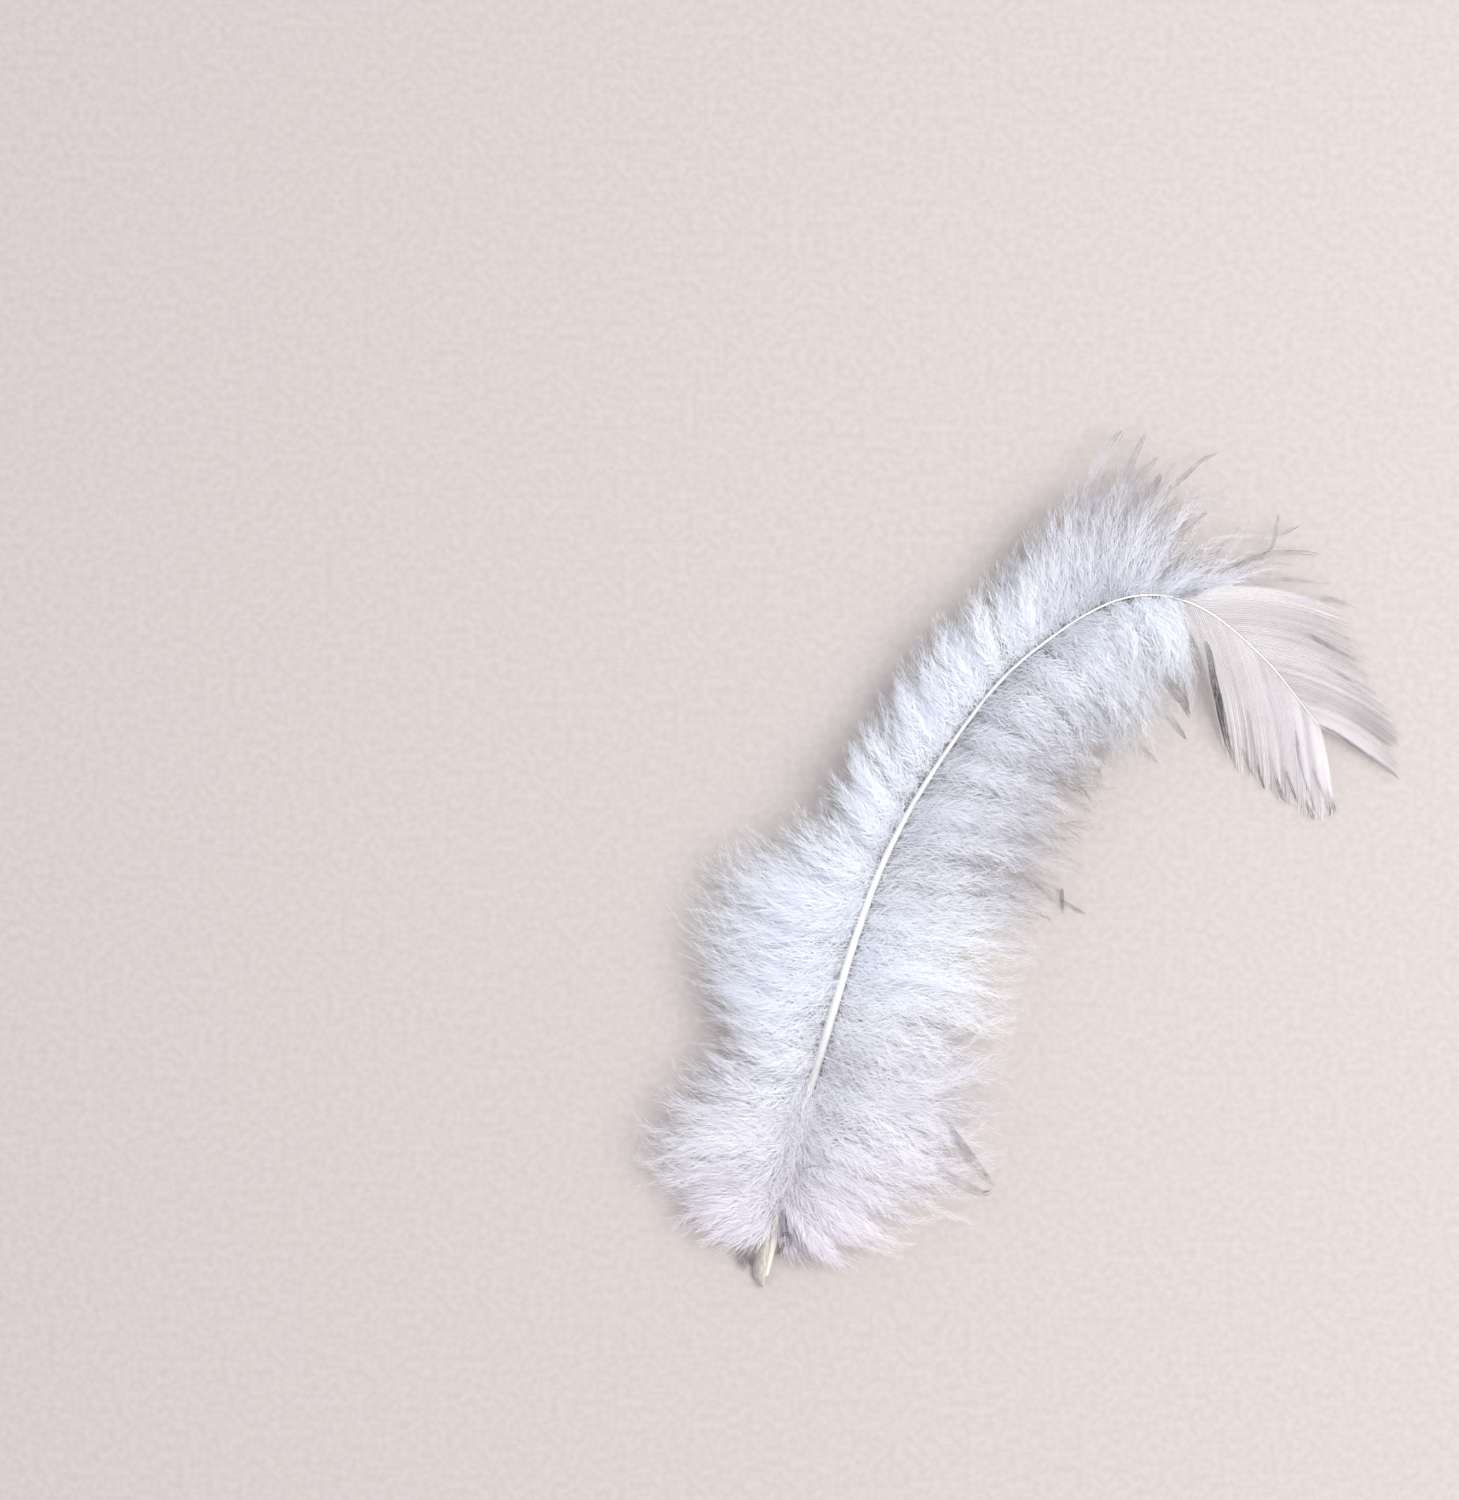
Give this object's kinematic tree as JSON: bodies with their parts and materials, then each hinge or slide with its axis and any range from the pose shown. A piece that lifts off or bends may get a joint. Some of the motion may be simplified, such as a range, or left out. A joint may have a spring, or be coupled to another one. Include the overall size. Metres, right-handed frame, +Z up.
{
  "type": "turkey feather",
  "caption": "White turkey body feather lying flat: curved shaft from a cut quill, fluffy down along both sides and thin open vanes at the bent tip.",
  "frame": {"origin": "on the surface that the feather lies on, below the middle of its outline", "axes": "+Y points away from the quill, +X to the side that the tip bends to, +Z up"},
  "size_m": [0.09, 0.1019, 0.0124],
  "materials": {
    "keratin": "matte"
  },
  "bodies": {
    "root": {"feather": "keratin"}
  },
  "joints": []
}
